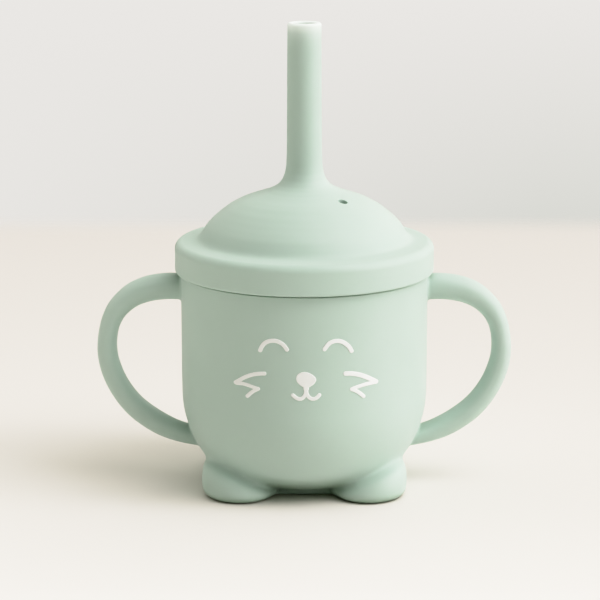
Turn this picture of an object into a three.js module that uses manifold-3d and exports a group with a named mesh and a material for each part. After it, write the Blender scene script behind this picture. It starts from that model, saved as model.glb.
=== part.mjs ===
// Silicone sippy cup with two side handles, four paw feet, a press-on domed lid,
// a drinking straw that rises from the lid and a dip tube plugged in from below.
// Millimetres, +Z up. Origin: centre of the cup on the table. The face looks along -Y,
// the handles lie along +X and -X. Left and right are as seen facing the printed face.

import * as THREE from 'three';
import { LoftGeometry } from 'three/addons/geometries/LoftGeometry.js';
import { mergeVertices } from 'three/addons/utils/BufferGeometryUtils.js';
import Module from 'manifold-3d';

const wasm = await Module();
wasm.setup();
const { Manifold, Mesh } = wasm;

// Every height below is measured from this far above the table; place() adds it back.
const STAND = 0.6;
const SEGMENTS = 40;             // facets round the cup and the lid
const STRAW_SEGMENTS = 28;       // facets round both straws

// ------------------------------------------------------------------- helpers

function solid(geometry) {
  // mergeVertices clones its input, which needs a plain BufferGeometry
  const plain = new THREE.BufferGeometry().copy(geometry);
  plain.deleteAttribute('normal');
  plain.deleteAttribute('uv');
  const merged = mergeVertices(plain, 1e-4);
  return new Manifold(new Mesh({
    numProp: 3,
    vertProperties: new Float32Array(merged.attributes.position.array),
    triVerts: new Uint32Array(merged.index.array),
  }));
}

function toGeometry(manifold) {
  const mesh = manifold.getMesh();
  const geometry = new THREE.BufferGeometry();
  const positions = new Float32Array(mesh.vertProperties);
  geometry.setAttribute('position', new THREE.BufferAttribute(positions, 3));
  geometry.setIndex(new THREE.BufferAttribute(new Uint32Array(mesh.triVerts), 1));
  geometry.computeVertexNormals();
  return geometry;
}

function flipFaces(geometry) {
  const index = geometry.index.array;
  for (let i = 0; i < index.length; i += 3) {
    [index[i], index[i + 1]] = [index[i + 1], index[i]];
  }
}

// points [radius, height] on an arc, angles in radians
function arc(centreX, centreZ, radius, start, end, steps) {
  return Array.from({ length: steps + 1 }, (_, i) => {
    const angle = start + (end - start) * i / steps;
    return [centreX + radius * Math.cos(angle), centreZ + radius * Math.sin(angle)];
  });
}

function vectors(points) {
  return points.map(([x, z]) => new THREE.Vector2(x, z));
}

// A profile of [radius, height] turned about Z. It either starts and ends on the axis
// or is a ring section, which is closed here.
function turned(profile, segments = SEGMENTS) {
  const outline = profile[0][0] === 0 ? profile : [...profile, profile[0]];
  const geometry = new THREE.LatheGeometry(vectors(outline), segments);
  geometry.rotateX(Math.PI / 2);
  const doubleArea = profile.reduce((sum, [radius, z], i) => {
    const [nextRadius, nextZ] = profile[(i + 1) % profile.length];
    return sum + radius * nextZ - nextRadius * z;
  }, 0);
  // a clockwise profile turns into faces that point inwards
  if (doubleArea < 0) flipFaces(geometry);
  return solid(geometry);
}

// an outline of Vector2 (x, z), extruded 20 mm towards -Y from backY and raised by z
function extruded(outline, backY, z = 0) {
  const shape = new THREE.Shape(outline);
  const geometry = new THREE.ExtrudeGeometry(shape, { depth: 20, bevelEnabled: false });
  geometry.rotateX(Math.PI / 2);
  geometry.translate(0, backY, z);
  return solid(geometry);
}

// ------------------------------------------------------------------ cup body

const BODY_R = 40.0;             // outer radius of the straight wall
const WALL = 3.0;                // silicone wall
const SHOULDER_Z = 69.6;         // step that the lid skirt stops above
const NECK_R = 39.2;             // outer radius of the neck under the lid
const NECK_INNER_R = 36.9;
const RIM_Z = 78.3;              // top of the rim
const RIM_OUTER_CHAMFER = 0.8;
const RIM_INNER_CHAMFER = 0.7;
const FLOOR_Z = 4.2;             // inside floor
const BELLY = [                  // outer profile, radius and height
  [18.4, -STAND], [18.9, 0.5 - STAND], [18.9, 1.55], [20.6, 1.9], [22.0, 2.3],
  [25.1, 4.0], [28.4, 6.0], [31.25, 8.0], [33.4, 10.0], [35.8, 14.0], [38.35, 20.0],
  [39.9, 28.0], [BODY_R, 36.0],
];
const CAVITY = [                 // inner profile, radius and height, floor to neck
  [0, FLOOR_Z], [13.0, FLOOR_Z + 0.3], [21.5, 6.2], [27.0, 9.0], [31.0, 12.6],
  [34.0, 17.2], [36.0, 23.5], [BODY_R - WALL, 32.0], [NECK_INNER_R, SHOULDER_Z],
];

// feet: four low paws, each a pad with round ends and a top that slopes up outwards
const FOOT_X = 20.25;            // centre line of the pad
const FOOT_Y = [12.8, 17.7];     // centres of its inner and outer round ends
const FOOT_CENTRE_Z = 2.6;       // height of the point the surface is traced from
const FOOT_HALF_W = 12.8;
const FOOT_TOP_Z = 7.05;         // height of the top over the centre line
const FOOT_SLOPE = 0.41;
const FOOT_TOP_BLEND = 6.0;      // softness of the upper edge
const FOOT_LOW_BLEND = 3.4;      // softness of the lower edge
const FOOT_WIDEST_Z = 5;         // height where the side bulges most
const FOOT_BARREL = 0.36;        // how far the side draws in this much above or below it
const FOOT_STRETCH = { y: 1.2, z: 0.45 };   // spreads the traced directions over the low pad

// handles: centre line in the XZ plane, with the half thickness seen from the front
const HANDLE = [                 // x, z, half thickness
  [37.6, 64.15, 4.15], [41.6, 64.55, 4.20], [46.0, 64.45, 4.18], [50.62, 63.7, 4.10],
  [55.0, 62.05, 3.92], [58.22, 59.77, 3.65], [61.05, 56.69, 3.42], [62.98, 52.82, 3.20],
  [64.0, 48.7, 3.14], [64.35, 44.4, 3.22], [64.0, 40.4, 3.30], [62.85, 36.15, 3.40],
  [60.95, 31.8, 3.42], [58.3, 27.6, 3.48], [54.9, 23.75, 3.54], [50.5, 20.3, 3.54],
  [45.7, 17.5, 3.42], [41.0, 15.6, 3.15], [36.4, 14.45, 3.00], [32.6, 13.9, 3.00],
];
const HANDLE_HALF_DEPTH = 5.0;   // half size along Y
const HANDLE_SIDES = 12;
const HANDLE_STEPS = 20;

function spline(points) {
  return new THREE.CatmullRomCurve3(points, false, 'centripetal');
}

// the right-hand handle, turned about Z
function handle(turn) {
  const centreLine = spline(HANDLE.map(([x, z]) => new THREE.Vector3(x, 0, z)));
  // half thickness is the y of this curve
  const thickness = spline(HANDLE.map(([, , half], i) => new THREE.Vector3(i, half, 0)));
  const sections = [];
  for (let i = 0; i <= HANDLE_STEPS; i++) {
    const t = i / HANDLE_STEPS;
    const centre = centreLine.getPoint(t);
    const tangent = centreLine.getTangent(t);
    const normal = new THREE.Vector3(-tangent.z, 0, tangent.x);
    const halfThickness = thickness.getPoint(t).y;
    const ring = [];
    for (let j = 0; j < HANDLE_SIDES; j++) {
      const angle = -j / HANDLE_SIDES * Math.PI * 2;
      const point = centre.clone().addScaledVector(normal, halfThickness * Math.cos(angle));
      point.y += HANDLE_HALF_DEPTH * Math.sin(angle);
      ring.push(point);
    }
    sections.push(ring);
  }
  return solid(new LoftGeometry(sections, { capStart: true, capEnd: true }).rotateZ(turn));
}

// maximum of two distances, rounded where they differ by less than blend
function softMax(a, b, blend) {
  const closeness = Math.max(blend - Math.abs(a - b), 0) / blend;
  return Math.max(a, b) + closeness * closeness * blend / 4;
}

// approximate signed distance to the foot at +X, +Y, negative inside
function footDistance({ x, y, z }) {
  const dx = x - FOOT_X;
  const dy = y - THREE.MathUtils.clamp(y, FOOT_Y[0], FOOT_Y[1]);
  const drawIn = FOOT_BARREL * ((z - FOOT_WIDEST_Z) / FOOT_WIDEST_Z) ** 2;
  const side = Math.hypot(dx, dy) - FOOT_HALF_W + drawIn;
  const top = (z - (FOOT_TOP_Z + FOOT_SLOPE * dx)) / Math.hypot(1, FOOT_SLOPE);
  return softMax(softMax(side, top, FOOT_TOP_BLEND), -STAND - z, FOOT_LOW_BLEND);
}

// the point on the foot's surface in one direction, found by halving the interval
function footSurface(centre, direction) {
  let near = 0;
  let far = 30;
  for (let i = 0; i < 40; i++) {
    const middle = (near + far) / 2;
    const inside = footDistance(centre.clone().addScaledVector(direction, middle)) < 0;
    if (inside) near = middle;
    else far = middle;
  }
  return centre.clone().addScaledVector(direction, near);
}

// a sphere pushed out to the foot's surface; the signs mirror it in X and Y
function foot(signX, signY) {
  const geometry = new THREE.SphereGeometry(1, 28, 16);
  geometry.rotateX(Math.PI / 2);
  const position = geometry.attributes.position;
  const centre = new THREE.Vector3(FOOT_X, (FOOT_Y[0] + FOOT_Y[1]) / 2, FOOT_CENTRE_Z);
  for (let i = 0; i < position.count; i++) {
    const direction = new THREE.Vector3(
      position.getX(i),
      position.getY(i) * FOOT_STRETCH.y,
      position.getZ(i) * FOOT_STRETCH.z,
    ).normalize();
    const point = footSurface(centre, direction);
    // the sole goes below the table, so that trimming the cup leaves it flat
    const z = point.z < 0.02 - STAND ? -STAND - 0.2 : point.z;
    position.setXYZ(i, point.x * signX, point.y * signY, z);
  }
  // a single mirroring turns the faces inside out
  if (signX * signY < 0) flipFaces(geometry);
  return solid(geometry);
}

function cupBody() {
  let cup = turned([
    [0, BELLY[0][1]], ...BELLY, [BODY_R, SHOULDER_Z], [NECK_R, SHOULDER_Z],
    [NECK_R, RIM_Z - RIM_OUTER_CHAMFER], [NECK_R - RIM_OUTER_CHAMFER, RIM_Z], [0, RIM_Z],
  ]);
  for (const signX of [-1, 1]) {
    for (const signY of [-1, 1]) cup = cup.add(foot(signX, signY));
    cup = cup.add(handle(signX > 0 ? 0 : Math.PI));
  }
  const belowTable = new THREE.BoxGeometry(120, 120, 20).translate(0, 0, -10 - STAND);
  const mouthR = NECK_INNER_R + RIM_INNER_CHAMFER;
  const cavity = turned([
    ...CAVITY, [NECK_INNER_R, RIM_Z - RIM_INNER_CHAMFER], [mouthR, RIM_Z],
    [mouthR, RIM_Z + 5], [0, RIM_Z + 5],
  ]);
  return cup.subtract(solid(belowTable)).subtract(cavity);
}

// ----------------------------------------------------------------------- lid

const LID_R = 41.9;              // outer radius of the ring
const SKIRT_Z = 70.1;            // bottom edge of the skirt
const SKIRT_INNER_R = 39.5;
const SKIRT_EDGE = [[41.3, SKIRT_Z], [41.8, SKIRT_Z + 0.7]];   // radius and height
const RING_TOP_Z = 79.75;
const RING_ROUND_R = 2.6;        // rounding of the ring's outer top edge
const GROOVE_Z = 78.6;           // ceiling of the groove over the rim
const PLUG_R = 36.6;             // ring that plugs into the cup mouth
const PLUG_INNER_R = 34.4;
const PLUG_Z = 71.9;
const PLUG_CHAMFER = 0.5;
const COLLAR_Z = 99.3;           // top of the lid's collar round the straw
const DOME = [                   // outer profile, radius and height, ring to collar
  [34.9, 80.4], [33.9, 81.1], [31.46, 85.0], [29.55, 87.0], [27.26, 89.0], [24.6, 91.0],
  [20.95, 93.0], [15.4, 95.0], [12.4, 96.0], [9.9, 97.0], [8.3, 98.0], [7.0, COLLAR_Z],
];
const BOSS_R = 5.9;              // boss round the dip tube's socket
const DOME_INSIDE = [            // inner profile, radius and height, boss to plug
  [BOSS_R, 92.2], [7.2, 93.3], [14.6, 92.7], [19.6, 90.9], [23.2, 88.9],
  [27.6, 85.4], [30.6, 81.6], [32.4, 79.0], [PLUG_INNER_R, 77.2],
];
const VENT = { x: 12.15, y: -11.4, z: 92, radius: 1.5 };   // air hole through the dome

// straw joint and sockets
const FLEX_Z = 101.5;            // height of the straw's bending centre
const SEAT_R = 5.75;             // round seat in the lid collar
const SOCKET_R = 3.95;           // socket for the dip tube
const SOCKET_Z = 84.0;
const LEDGE_Z = 95.8;            // ledge that stops the dip tube
const THROAT_R = 2.9;

function lid() {
  const seatHigh = -Math.asin((FLEX_Z - COLLAR_Z) / SEAT_R);
  const seatLow = -Math.acos(THROAT_R / SEAT_R);
  const roundR = LID_R - RING_ROUND_R;
  const roundZ = RING_TOP_Z - RING_ROUND_R;
  const body = turned([
    [SKIRT_INNER_R, SKIRT_Z], ...SKIRT_EDGE, [LID_R, roundZ],
    ...arc(roundR, roundZ, RING_ROUND_R, Math.PI / 8, Math.PI / 2, 3),
    ...DOME,
    ...arc(0, FLEX_Z, SEAT_R, seatHigh, seatLow, 5),
    [THROAT_R, LEDGE_Z], [SOCKET_R, LEDGE_Z], [SOCKET_R, SOCKET_Z], [BOSS_R, SOCKET_Z],
    ...DOME_INSIDE,
    [PLUG_INNER_R, PLUG_Z + PLUG_CHAMFER], [PLUG_INNER_R + PLUG_CHAMFER, PLUG_Z],
    [PLUG_R - PLUG_CHAMFER, PLUG_Z], [PLUG_R, PLUG_Z + PLUG_CHAMFER],
    [PLUG_R, GROOVE_Z], [SKIRT_INNER_R, GROOVE_Z],
  ]);
  const drill = new THREE.CylinderGeometry(VENT.radius, VENT.radius, 20, 16);
  drill.rotateX(Math.PI / 2);
  drill.translate(VENT.x, VENT.y, VENT.z);
  return body.subtract(solid(drill));
}

// -------------------------------------------------------------------- straws

const BALL_R = 5.4;              // round foot of the straw
const BALL_END = THREE.MathUtils.degToRad(8);   // where the round foot stops, above level
const STRAW_BORE_R = 3.7;
const STRAW_TOP_R = 5.36;
const STRAW_TOP_Z = 150.2;
const STRAW_OUTSIDE = [          // radius and height, round foot to rounded mouth
  [5.62, FLEX_Z + 2.2], [5.5, 118], [STRAW_TOP_R, STRAW_TOP_Z - 0.9],
  [STRAW_TOP_R - 0.3, STRAW_TOP_Z - 0.25], [STRAW_TOP_R - 0.9, STRAW_TOP_Z],
];
const STRAW_BORE_CHAMFER = 0.5;

const TUBE_R = 3.8;
const TUBE_BORE_R = 2.6;
const TUBE_TOP_Z = 95.5;
const TUBE_TOP_CHAMFER = 0.5;
const TUBE_BOTTOM_Z = 8.2;
const TUBE_FLANGE_R = 5.2;
const TUBE_FLANGE = [            // stop flange under the boss, radius and height
  [TUBE_R, SOCKET_Z - 2.2], [TUBE_FLANGE_R, SOCKET_Z - 1.8],
  [TUBE_FLANGE_R, SOCKET_Z - 0.5], [TUBE_R, SOCKET_Z - 0.3],
];
// notch that lets liquid in at the floor: x, and z above the tube's bottom
const TUBE_NOTCH = [[-2.0, -2], [2.0, -2], [0.9, 3.2], [-0.9, 3.2]];

function upperStraw() {
  const ballLow = -Math.acos(STRAW_BORE_R / BALL_R);
  return turned([
    ...arc(0, FLEX_Z, BALL_R, ballLow, BALL_END, 5),
    ...STRAW_OUTSIDE,
    [STRAW_BORE_R + STRAW_BORE_CHAMFER, STRAW_TOP_Z],
    [STRAW_BORE_R, STRAW_TOP_Z - STRAW_BORE_CHAMFER],
  ], STRAW_SEGMENTS);
}

function lowerStraw() {
  const tube = turned([
    [TUBE_BORE_R, TUBE_BOTTOM_Z], [TUBE_R, TUBE_BOTTOM_Z],
    ...TUBE_FLANGE,
    [TUBE_R, TUBE_TOP_Z - TUBE_TOP_CHAMFER], [TUBE_R - TUBE_TOP_CHAMFER, TUBE_TOP_Z],
    [TUBE_BORE_R, TUBE_TOP_Z],
  ], STRAW_SEGMENTS);
  return tube.subtract(extruded(vectors(TUBE_NOTCH), 10, TUBE_BOTTOM_Z));
}

// -------------------------------------------------------------- printed face

// a thin layer on the wall; every table of points is x, z in the XZ plane
const PRINT = { innerR: 40.12, outerR: 40.42, lowZ: 30, highZ: 62, segments: 100 };
const PRINT_BACK_Y = -26;        // flat shapes run forwards from here, through the front wall
const STROKE = {                 // line widths
  eye: 1.40, whiskerLeft: 1.32, whiskerRight: 1.50, whiskerLow: 1.24, stem: 1.05, mouth: 1.24,
};
const EYE_DIVISIONS = 10;
const WHISKER_DIVISIONS = [6, 4, 3];
const MOUTH_DIVISIONS = 7;
const NOSE_DIVISIONS = 26;
const STEM_HEAD_R = 0.92;        // small round head of the stem under the nose
const EYE_LEFT = [
  [-13.81, 52.32], [-13.21, 53.67], [-12.23, 54.84], [-10.98, 55.48], [-9.65, 55.71],
  [-8.33, 55.54], [-7.09, 54.90], [-6.15, 54.01], [-5.50, 53.04],
];
const EYE_RIGHT = [
  [6.20, 53.13], [7.06, 54.29], [7.99, 55.13], [9.23, 55.54], [10.48, 55.54],
  [11.73, 55.17], [12.99, 54.31], [13.93, 53.27], [14.61, 52.00],
];
const WHISKERS_LEFT = [          // three lines, top to bottom
  [
    [-12.50, 44.95], [-14.15, 44.75], [-15.73, 44.40], [-17.31, 43.81], [-18.90, 42.95],
    [-20.50, 41.84], [-21.59, 41.02],
  ],
  [[-21.27, 40.81], [-19.23, 40.93], [-17.64, 40.66], [-16.06, 40.24], [-14.49, 39.84]],
  [[-14.49, 39.84], [-15.91, 38.96], [-17.02, 38.02], [-17.90, 37.09]],
];
const WHISKERS_RIGHT = [
  [
    [12.79, 44.93], [14.44, 44.77], [16.01, 44.44], [17.60, 43.90], [19.18, 43.12],
    [20.78, 42.19], [22.42, 41.10],
  ],
  [
    [22.42, 41.04], [20.79, 40.89], [19.04, 40.75], [17.30, 40.41], [15.72, 40.03],
    [14.74, 39.67],
  ],
  [[14.74, 39.67], [15.88, 39.12], [17.15, 38.24], [18.50, 36.93]],
];
const NOSE = [
  [-2.66, 43.84], [-2.35, 44.89], [-1.49, 45.62], [-0.25, 46.00], [1.00, 45.82],
  [2.24, 45.21], [3.15, 44.47], [3.65, 43.58], [3.41, 42.62], [2.71, 41.82],
  [1.62, 41.11], [0.50, 40.67], [-0.59, 41.09], [-1.71, 41.95], [-2.43, 42.88],
];
const STEM = [[0.50, 40.57], [0.50, 39.35]];
const MOUTH_LEFT = [
  [-3.65, 38.47], [-2.90, 37.79], [-1.97, 37.32], [-1.15, 37.31], [-0.41, 37.77],
  [0.14, 38.54], [0.47, 39.67],
];
const MOUTH_RIGHT = [
  [0.50, 39.67], [0.87, 38.54], [1.47, 37.73], [2.40, 37.27], [3.34, 37.38],
  [4.12, 37.92], [4.62, 38.50],
];

// five points round the end of a stroke
function strokeEnd(centre, direction, radius) {
  const middle = Math.atan2(direction.y, direction.x);
  return [-60, -30, 0, 30, 60].map((degrees) => {
    const angle = middle + THREE.MathUtils.degToRad(degrees);
    return new THREE.Vector2(Math.cos(angle), Math.sin(angle))
      .multiplyScalar(radius)
      .add(centre);
  });
}

// a line of even width with round ends, along a smooth curve through the points
function stroke(points, width, divisions) {
  const line = new THREE.SplineCurve(vectors(points)).getSpacedPoints(divisions);
  const last = line.length - 1;
  const radius = width / 2;
  const directions = line.map((_, i) => (
    line[Math.min(i + 1, last)].clone().sub(line[Math.max(i - 1, 0)]).normalize()
  ));
  const side = (offset) => line.map((point, i) => {
    const normal = new THREE.Vector2(-directions[i].y, directions[i].x);
    return point.clone().addScaledVector(normal, offset);
  });
  return extruded([
    ...side(-radius),
    ...strokeEnd(line[last], directions[last], radius),
    ...side(radius).reverse(),
    ...strokeEnd(line[0], directions[0].clone().negate(), radius),
  ], PRINT_BACK_Y);
}

const printShell = turned([
  [PRINT.innerR, PRINT.lowZ], [PRINT.outerR, PRINT.lowZ],
  [PRINT.outerR, PRINT.highZ], [PRINT.innerR, PRINT.highZ],
], PRINT.segments);

function printed(parts) {
  return parts.reduce((sum, part) => sum.add(part)).intersect(printShell);
}

function eye(points) {
  return printed([stroke(points, STROKE.eye, EYE_DIVISIONS)]);
}

function whiskers(lines, topWidth) {
  return printed(lines.map((points, i) => (
    stroke(points, i === 0 ? topWidth : STROKE.whiskerLow, WHISKER_DIVISIONS[i])
  )));
}

function noseAndMouth() {
  const noseCurve = new THREE.SplineCurve(vectors([...NOSE, NOSE[0]]));
  const nose = noseCurve.getPoints(NOSE_DIVISIONS).slice(0, -1);
  // twelve corners; the last stops one step short of the first
  const stemHead = arc(...STEM[0], STEM_HEAD_R, 0, Math.PI * 11 / 6, 11);
  return printed([
    extruded(nose, PRINT_BACK_Y),
    extruded(vectors(stemHead), PRINT_BACK_Y),
    stroke(STEM, STROKE.stem, 1),
    stroke(MOUTH_LEFT, STROKE.mouth, MOUTH_DIVISIONS),
    stroke(MOUTH_RIGHT, STROKE.mouth, MOUTH_DIVISIONS),
  ]);
}

// ------------------------------------------------------------------ assembly

function mint() {
  return new THREE.MeshStandardMaterial({ color: 0xaec9b3, roughness: 0.62, metalness: 0 });
}

function white() {
  return new THREE.MeshStandardMaterial({ color: 0xf4f6f3, roughness: 0.55, metalness: 0 });
}

const group = new THREE.Group();

function place(name, manifold, material) {
  const mesh = new THREE.Mesh(toGeometry(manifold).translate(0, 0, STAND), material);
  mesh.name = name;
  group.add(mesh);
}

place('cup_body', cupBody(), mint());
place('lid', lid(), mint());
place('upper_straw', upperStraw(), mint());
place('lower_straw', lowerStraw(), mint());
place('print_eye_left', eye(EYE_LEFT), white());
place('print_eye_right', eye(EYE_RIGHT), white());
place('print_nose_mouth', noseAndMouth(), white());
place('print_whiskers_left', whiskers(WHISKERS_LEFT, STROKE.whiskerLeft), white());
place('print_whiskers_right', whiskers(WHISKERS_RIGHT, STROKE.whiskerRight), white());

export default group;
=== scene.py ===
"""Silicone sippy cup with two handles, four feet, a domed lid with a drinking straw, and a cat face.

The axis of the cup is Z. The printed face looks towards -Y, the front; the handles lie in the XZ plane
on both sides. Lengths are millimetres unless a comment says metres, and heights are measured from
STAND above the table.
"""

import math

import bpy
import numpy as np
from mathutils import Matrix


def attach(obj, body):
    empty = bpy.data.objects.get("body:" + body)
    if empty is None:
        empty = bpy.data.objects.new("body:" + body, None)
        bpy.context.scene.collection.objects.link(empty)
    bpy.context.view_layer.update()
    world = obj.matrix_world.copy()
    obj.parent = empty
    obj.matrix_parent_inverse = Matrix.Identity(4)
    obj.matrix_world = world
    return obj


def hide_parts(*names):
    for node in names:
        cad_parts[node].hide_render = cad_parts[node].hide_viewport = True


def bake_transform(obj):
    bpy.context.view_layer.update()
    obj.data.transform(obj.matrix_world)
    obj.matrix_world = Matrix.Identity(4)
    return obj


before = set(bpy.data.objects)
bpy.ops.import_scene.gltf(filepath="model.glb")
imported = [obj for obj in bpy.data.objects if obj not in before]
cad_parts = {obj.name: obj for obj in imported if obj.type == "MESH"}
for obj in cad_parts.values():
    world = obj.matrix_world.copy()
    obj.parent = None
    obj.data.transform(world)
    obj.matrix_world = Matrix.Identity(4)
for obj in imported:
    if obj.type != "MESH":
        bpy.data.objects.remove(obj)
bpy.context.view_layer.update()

MM = 0.001                       # metres in a millimetre
STAND = 0.6                      # height of the frame's zero above the table

# ------------------------------------------------------------ curves and blends


def soft_min(a, b, width):
    """Minimum of two distances, rounded where they differ by less than width."""
    overlap = np.clip(width - np.abs(a - b), 0, None) / width
    return np.minimum(a, b) - overlap * overlap * width * 0.25


def soft_max(a, b, width):
    return -soft_min(-a, -b, width)


def ramp(value, start, length):
    """Rises from 0 to 1 over a length beyond start."""
    return np.clip((value - start) / length, 0, 1)


def catmull(points, steps, loop=False):
    """A smooth curve through points, centripetal; steps per span."""
    points = np.array(points, float)
    if loop:
        points = np.vstack([points[-1], points, points[0], points[1]])
    else:
        points = np.vstack([2 * points[0] - points[1], points, 2 * points[-1] - points[-2]])

    def blend(start, end, t_start, t_end):
        return (t_end - t) / (t_end - t_start) * start + (t - t_start) / (t_end - t_start) * end

    out = []
    for i in range(1, len(points) - 2):
        four = points[i - 1:i + 3]
        knots = [0.0]
        for k in range(3):
            knots.append(knots[-1] + np.linalg.norm(four[k + 1, :2] - four[k, :2]) ** 0.5)
        t = np.linspace(knots[1], knots[2], steps, endpoint=False)[:, None]
        lines = [blend(four[k], four[k + 1], knots[k], knots[k + 1]) for k in range(3)]
        bends = [blend(lines[k], lines[k + 1], knots[k], knots[k + 2]) for k in range(2)]
        out.append(blend(bends[0], bends[1], knots[1], knots[2]))
    if not loop:
        out.append(points[-2][None])
    return np.vstack(out)


def lengths_along(points):
    """Length of the polyline up to each of its points."""
    return np.r_[0, np.cumsum(np.linalg.norm(np.diff(points[:, :2], axis=0), axis=1))]


def evenly(points, step):
    """Points about step apart along a polyline."""
    points = np.array(points, float)
    lengths = lengths_along(points)
    count = max(2, int(round(lengths[-1] / step)) + 1)
    t = np.linspace(0, lengths[-1], count)
    return np.column_stack([np.interp(t, lengths, column) for column in points.T])


def soften(points, step, sigma):
    """Evens out a curve and smooths it with a Gaussian of sigma, holding its ends and directions."""
    points = evenly(points, step)
    reach = int(math.ceil(3 * sigma / step))
    kernel = np.exp(-0.5 * (np.arange(-reach, reach + 1) * step / sigma) ** 2)
    kernel /= kernel.sum()
    head = 2 * points[0] - points[reach:0:-1]
    tail = 2 * points[-1] - points[-2:-reach - 2:-1]
    padded = np.vstack([head, points, tail])
    return np.column_stack([np.convolve(column, kernel, "valid") for column in padded.T])


def arc(centre_x, centre_y, radius, start, end, steps):
    """Points of an arc between two angles in degrees."""
    angle = np.radians(np.linspace(start, end, steps + 1))
    return np.column_stack([centre_x + radius * np.cos(angle), centre_y + radius * np.sin(angle)])


def filleted(points, steps):
    """A polyline of (x, y, corner radius) with its corners rounded."""
    out = []
    for i, (x, y, wanted) in enumerate(points):
        corner = np.array([x, y], float)
        if wanted <= 0 or i in (0, len(points) - 1):
            out.append(corner[None])
            continue
        back = np.array(points[i - 1][:2], float) - corner
        ahead = np.array(points[i + 1][:2], float) - corner
        back_length, ahead_length = np.linalg.norm(back), np.linalg.norm(ahead)
        back, ahead = back / back_length, ahead / ahead_length
        half = math.acos(max(-1, min(1, float(back @ ahead)))) / 2
        cut = min(wanted / math.tan(half), back_length * 0.49, ahead_length * 0.49)
        radius = cut * math.tan(half)
        inward = (back + ahead) / np.linalg.norm(back + ahead)
        centre = corner + inward * (radius / math.sin(half))
        start, end = corner + back * cut - centre, corner + ahead * cut - centre
        start_angle = math.atan2(start[1], start[0])
        sweep = math.atan2(end[1], end[0]) - start_angle
        sweep = (sweep + math.pi) % (2 * math.pi) - math.pi
        t = start_angle + sweep * np.linspace(0, 1, steps + 1)
        out.append(np.column_stack([centre[0] + radius * np.cos(t), centre[1] + radius * np.sin(t)]))
    return np.vstack(out)


def dense(points, step=1.6):
    """Adds points on long stretches, with short ones beside each corner."""
    points = np.asarray(points, float)
    margin = 0.25
    out = [points[:1]]
    for start, end in zip(points[:-1], points[1:]):
        length = np.linalg.norm(end - start)
        if length > 1.0:
            count = max(1, int(math.ceil((length - 2 * margin) / step)))
            t = np.r_[margin, np.linspace(margin, length - margin, count + 1)[1:]] / length
            out.append(start + t[:, None] * (end - start))
        out.append(end[None])
    return np.vstack(out)


def spread(*parts):
    """Grid lines from (start, end, step) parts that follow one another."""
    out = []
    for start, end, step in parts:
        count = max(1, int(round((end - start) / step)))
        out.append(np.linspace(start, end, count, endpoint=False))
    return np.concatenate(out + [[parts[-1][1]]])


# ------------------------------------------------------------------- distances

CHUNK = 1_500_000                # point and edge pairs handled at once


def polygon_distance(points, polygon):
    """Signed distance from points (n, 2) to a closed polygon, negative inside."""
    edge = np.roll(polygon, -1, 0) - polygon
    keep = (edge ** 2).sum(1) > 1e-14
    start, edge = polygon[keep], edge[keep]
    end = start + edge
    edge_squared = (edge ** 2).sum(1)
    rise = np.where(edge[:, 1] == 0, 1.0, edge[:, 1])
    out = np.empty(len(points))
    step = max(1, CHUNK // len(start))
    for first in range(0, len(points), step):
        rows = slice(first, first + step)
        x, y = points[rows, 0, None], points[rows, 1, None]
        from_x, from_y = x - start[:, 0], y - start[:, 1]
        t = np.clip((from_x * edge[:, 0] + from_y * edge[:, 1]) / edge_squared, 0, 1)
        squared = ((from_x - t * edge[:, 0]) ** 2 + (from_y - t * edge[:, 1]) ** 2).min(1)
        crossing = (start[:, 1] <= y) != (end[:, 1] <= y)
        crossing &= x < start[:, 0] + from_y * edge[:, 0] / rise
        out[rows] = np.where(crossing.sum(1) % 2 == 1, -1, 1) * np.sqrt(squared)
    return out


def line_distance(points, line):
    """Distance from points (n, 2) to an open polyline, and its further columns at the nearest place."""
    start, edge = line[:-1], np.diff(line, axis=0)
    edge_squared = (edge[:, :2] ** 2).sum(1)
    out = np.empty(len(points))
    extra = np.empty((len(points), line.shape[1] - 2))
    step = max(1, CHUNK // len(start))
    for first in range(0, len(points), step):
        rows = slice(first, first + step)
        from_x = points[rows, 0, None] - start[:, 0]
        from_y = points[rows, 1, None] - start[:, 1]
        t = np.clip((from_x * edge[:, 0] + from_y * edge[:, 1]) / edge_squared, 0, 1)
        squared = (from_x - t * edge[:, 0]) ** 2 + (from_y - t * edge[:, 1]) ** 2
        nearest = squared.argmin(1)
        each = np.arange(len(nearest))
        out[rows] = np.sqrt(squared[each, nearest])
        extra[rows] = start[nearest][:, 2:] + t[each, nearest][:, None] * edge[nearest][:, 2:]
    return out, extra


class Table:
    """A function of points (n, 2), sampled on a grid and read back with bilinear interpolation."""

    def __init__(self, x_span, y_span, step, function):
        self.step = step
        self.xs = np.arange(x_span[0], x_span[1] + step, step)
        self.ys = np.arange(y_span[0], y_span[1] + step, step)
        count_x, count_y = len(self.xs), len(self.ys)
        grid = np.column_stack([np.repeat(self.xs, count_y), np.tile(self.ys, count_x)])
        self.values = function(grid).reshape(count_x, count_y)

    def __call__(self, x, y):
        values = self.values
        column = np.clip((x - self.xs[0]) / self.step, 0, values.shape[0] - 1.001)
        row = np.clip((y - self.ys[0]) / self.step, 0, values.shape[1] - 1.001)
        i, j = column.astype(int), row.astype(int)
        part_x, part_y = column - i, row - j
        return ((values[i, j] * (1 - part_x) + values[i + 1, j] * part_x) * (1 - part_y)
                + (values[i, j + 1] * (1 - part_x) + values[i + 1, j + 1] * part_x) * part_y)


# ----------------------------------------------------------------------- skins


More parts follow.
